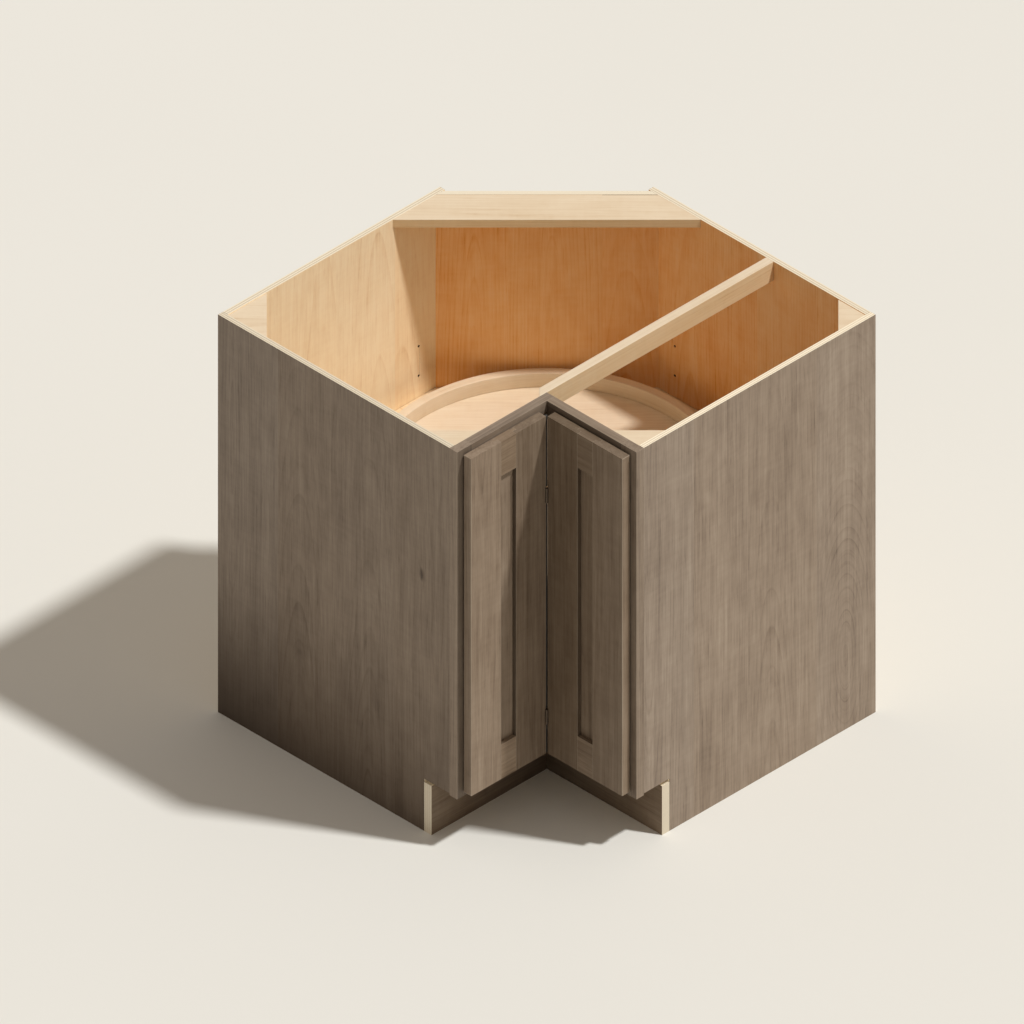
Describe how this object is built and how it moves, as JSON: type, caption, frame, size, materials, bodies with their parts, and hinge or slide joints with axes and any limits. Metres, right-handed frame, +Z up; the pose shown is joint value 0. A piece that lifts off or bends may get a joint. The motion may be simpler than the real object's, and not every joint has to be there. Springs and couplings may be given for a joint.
{
  "type": "corner carousel cabinet",
  "caption": "L-shaped corner base cabinet with a diagonal back, an open top for a worktop, a folding corner door and round trays that turn inside.",
  "frame": {"origin": "on the floor, under the middle of the square that the two wall runs make", "axes": "+Z up; the room walls lie along the -X and +Y faces, the user stands at +X -Y facing the inner corner"},
  "size_m": [0.8382, 0.8382, 0.8763],
  "materials": {
    "stained_wood": "maple with a grey-brown semi-transparent stain and a satin clear coat",
    "stained_toe_board": "grey-brown stained board with raw cut ends",
    "maple_interior": "natural maple veneer plywood with a clear satin coat",
    "pale_maple": "pale natural maple with a clear satin coat",
    "steel": "zinc-plated steel",
    "bright_steel": "nickel-plated steel",
    "rubber": "soft matt bumper rubber",
    "catch_plastic": "brown moulded plastic"
  },
  "bodies": {
    "root": {"left_side_panel": "stained_wood", "right_side_panel": "stained_wood", "left_wall_panel": "maple_interior", "right_wall_panel": "maple_interior", "diagonal_back_panel": "maple_interior", "bottom_deck": "maple_interior", "carousel_shelf": "maple_interior", "shelf_pins": "steel", "rear_top_brace": "pale_maple", "top_stretcher": "pale_maple", "corner_blocks": "pale_maple", "left_outer_stile": "stained_wood", "right_outer_stile": "stained_wood", "left_top_rail": "stained_wood", "right_top_rail": "stained_wood", "left_bottom_rail": "stained_wood", "right_bottom_rail": "stained_wood", "left_toe_board": "stained_toe_board", "right_toe_board": "stained_toe_board", "deck_posts": "maple_interior", "deck_cleats": "maple_interior", "hinge_arms": "bright_steel", "hinge_arm_screws": "steel", "magnet_catch": "catch_plastic", "catch_screws": "steel", "lower_swivel_base": "steel", "lower_swivel_balls": "bright_steel", "upper_swivel_base": "steel", "upper_swivel_balls": "bright_steel", "swivel_base_screws": "bright_steel"},
    "left_door": {"left_door_hinge_stile": "stained_wood", "left_door_corner_stile": "stained_wood", "left_door_top_rail": "stained_wood", "left_door_bottom_rail": "stained_wood", "left_door_panel": "stained_wood", "hinge_cups": "bright_steel", "hinge_pins": "steel", "hinge_cup_screws": "steel", "fold_hinge_left_leaves": "steel", "fold_hinge_pins": "bright_steel", "fold_hinge_left_screws": "bright_steel"},
    "right_door": {"right_door_free_stile": "stained_wood", "right_door_corner_stile": "stained_wood", "right_door_top_rail": "stained_wood", "right_door_bottom_rail": "stained_wood", "right_door_panel": "stained_wood", "fold_hinge_right_leaves": "steel", "fold_hinge_right_screws": "bright_steel", "catch_strike": "bright_steel", "door_bumpers": "rubber"},
    "lower_tray": {"lower_tray_board": "pale_maple", "lower_tray_rim": "pale_maple", "lower_swivel_top": "steel", "lower_tray_screws": "bright_steel"},
    "upper_tray": {"upper_tray_board": "pale_maple", "upper_tray_rim": "pale_maple", "upper_swivel_top": "steel", "upper_tray_screws": "bright_steel"}
  },
  "joints": [
    {"name": "door_swing", "type": "hinge", "parent": "root", "child": "left_door", "pos_m": [0.2017, -0.398, 0.4935], "axis": [0, 0, -1], "range_deg": [0, 105]},
    {"name": "door_fold", "type": "hinge", "parent": "left_door", "child": "right_door", "pos_m": [0.215, -0.215, 0.448], "axis": [0, 0, -1], "range_deg": [0, 85]},
    {"name": "lower_tray_spin", "type": "hinge", "parent": "root", "child": "lower_tray", "pos_m": [-0.02995, 0.02995, 0.1461], "axis": [0, 0, 1], "continuous": true},
    {"name": "upper_tray_spin", "type": "hinge", "parent": "root", "child": "upper_tray", "pos_m": [-0.02995, 0.02995, 0.45245], "axis": [0, 0, 1], "continuous": true}
  ]
}
